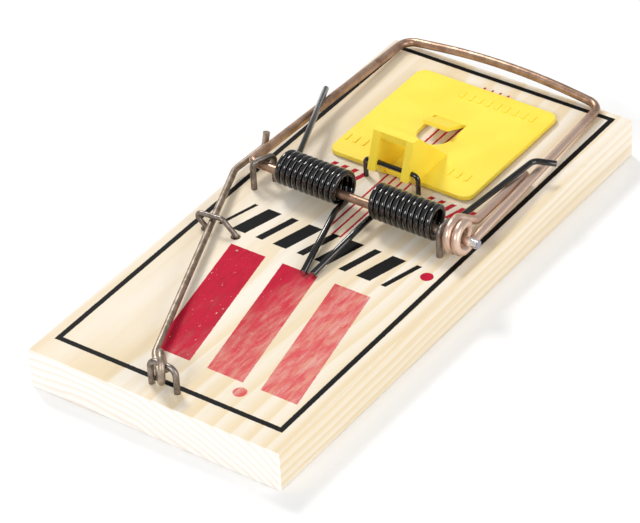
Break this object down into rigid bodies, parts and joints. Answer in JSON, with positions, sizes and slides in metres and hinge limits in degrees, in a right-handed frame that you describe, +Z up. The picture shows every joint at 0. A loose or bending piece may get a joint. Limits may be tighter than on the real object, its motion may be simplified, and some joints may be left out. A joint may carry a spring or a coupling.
{
  "type": "snap trap",
  "caption": "Snap trap on a wooden board: spring-driven wire hammer, locking bar, wire staples and a tilting plastic bait pedal.",
  "frame": {"origin": "centre of the board's underside", "axes": "+Y along the board towards the pedal end, +Z up out of the printed top face, +X to the right seen from the front (the end with the locking bar's eye staple)"},
  "size_m": [0.0826, 0.176, 0.0283],
  "materials": {
    "pine": "raw planed pine with printed black and red ink",
    "copper_washed_steel": "copper-washed drawn steel wire, dull",
    "blackened_steel": "oil-blackened spring wire, glossy",
    "bar_steel": "bare drawn steel wire, slightly browned",
    "bare_steel": "bare drawn steel staple wire",
    "yellow_plastic": "moulded, semi-matt"
  },
  "bodies": {
    "board": {"base_board": "pine", "left_spring": "blackened_steel", "right_spring": "blackened_steel", "left_axle_staple": "bare_steel", "right_axle_staple": "bare_steel", "locking_bar_staple": "bare_steel", "pedal_pivot_staple": "blackened_steel"},
    "hammer": {"hammer": "copper_washed_steel"},
    "locking_bar": {"locking_bar": "bar_steel"},
    "shipping_staple": {"shipping_staple": "bare_steel"},
    "pedal": {"pedal": "yellow_plastic"}
  },
  "joints": [
    {"name": "hammer_swing", "type": "hinge", "parent": "board", "child": "hammer", "pos_m": [0, 0.0066, 0.0191], "axis": [1, 0, 0], "range_deg": [0, 180], "stiffness_Nm_per_rad": 0.02, "springref_deg": -34.38, "deforming": ["left_spring", "right_spring"]},
    {"name": "locking_bar_lift", "type": "hinge", "parent": "board", "child": "locking_bar", "pos_m": [0, -0.0816, 0.0204], "axis": [1, 0, 0], "range_deg": [0, 180]},
    {"name": "shipping_staple_pull", "type": "slide", "parent": "locking_bar", "child": "shipping_staple", "axis": [0, 0, 1], "range_m": [0, 0.012]},
    {"name": "pedal_tilt", "type": "hinge", "parent": "board", "child": "pedal", "pos_m": [0, 0.0252, 0.0187], "axis": [1, 0, 0], "range_deg": [0, 20]}
  ]
}
